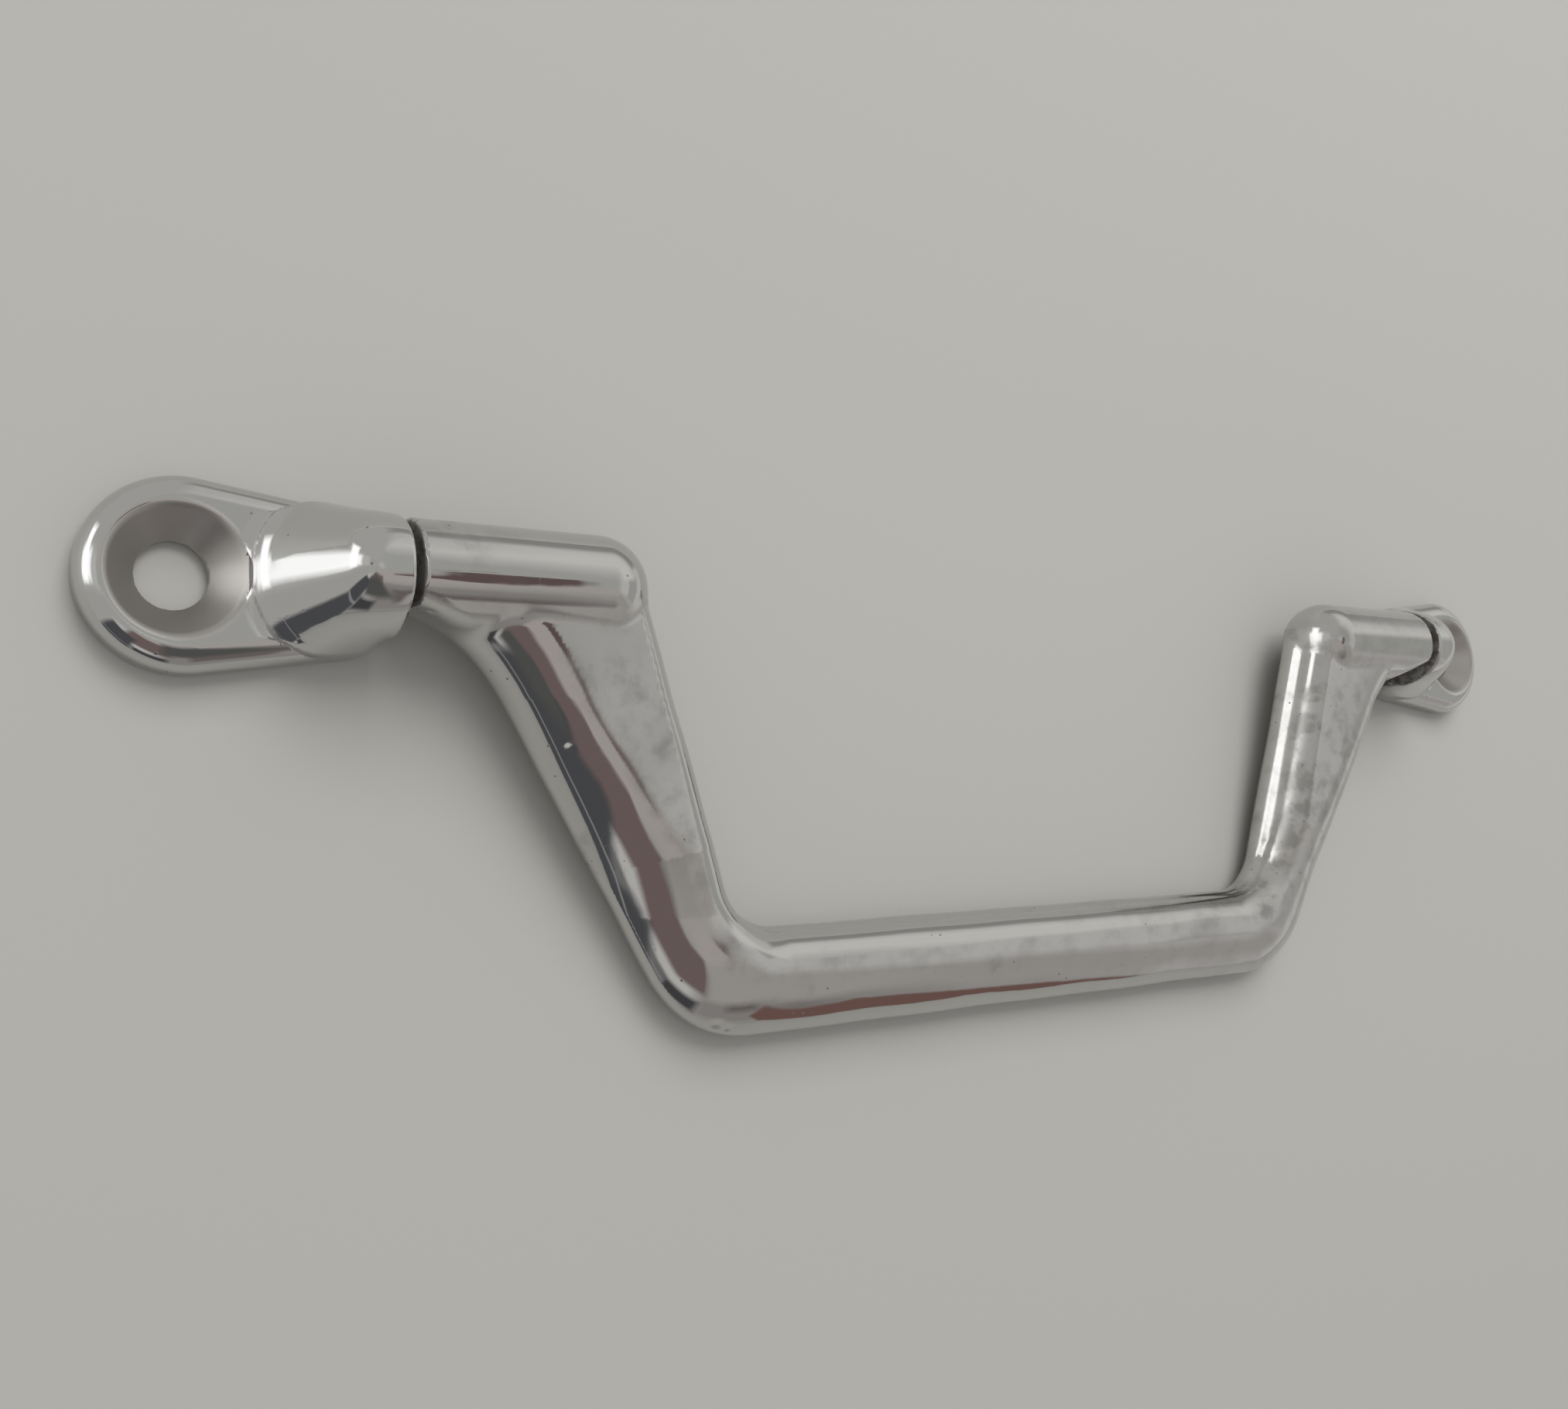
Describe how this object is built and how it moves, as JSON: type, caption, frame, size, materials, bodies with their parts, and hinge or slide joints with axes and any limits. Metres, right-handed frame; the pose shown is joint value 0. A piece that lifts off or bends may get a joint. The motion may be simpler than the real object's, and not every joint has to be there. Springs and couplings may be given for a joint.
{
  "type": "furniture pull handle",
  "caption": "Chrome-plated swinging drop handle for furniture: a cast bail with slanted arms and a round grip turns on pins between two teardrop brackets with countersunk screw holes.",
  "frame": {"origin": "midway between the two screw holes, on the mounting face", "axes": "+X along the hinge from the left bracket to the right one, +Z out of the furniture, and the bail lies towards -Y at rest"},
  "size_m": [0.1734, 0.0455, 0.011],
  "materials": {
    "chrome_plate": "bright chrome plate on a zinc casting, lightly worn, unpolished in the countersinks",
    "bail_chrome": "bright chrome plate on a zinc casting, with pits, fine scratches and dirt in the creases",
    "pin_steel": "drawn steel pin, dull"
  },
  "bodies": {
    "brackets": {"left_bracket": "chrome_plate", "right_bracket": "chrome_plate", "left_pivot_pin": "pin_steel", "right_pivot_pin": "pin_steel"},
    "handle": {"bail": "bail_chrome"}
  },
  "joints": [
    {"name": "bail_swing", "type": "hinge", "parent": "brackets", "child": "handle", "pos_m": [0, 0, 0.006], "axis": [-1, 0, 0], "range_deg": [0, 190]}
  ]
}
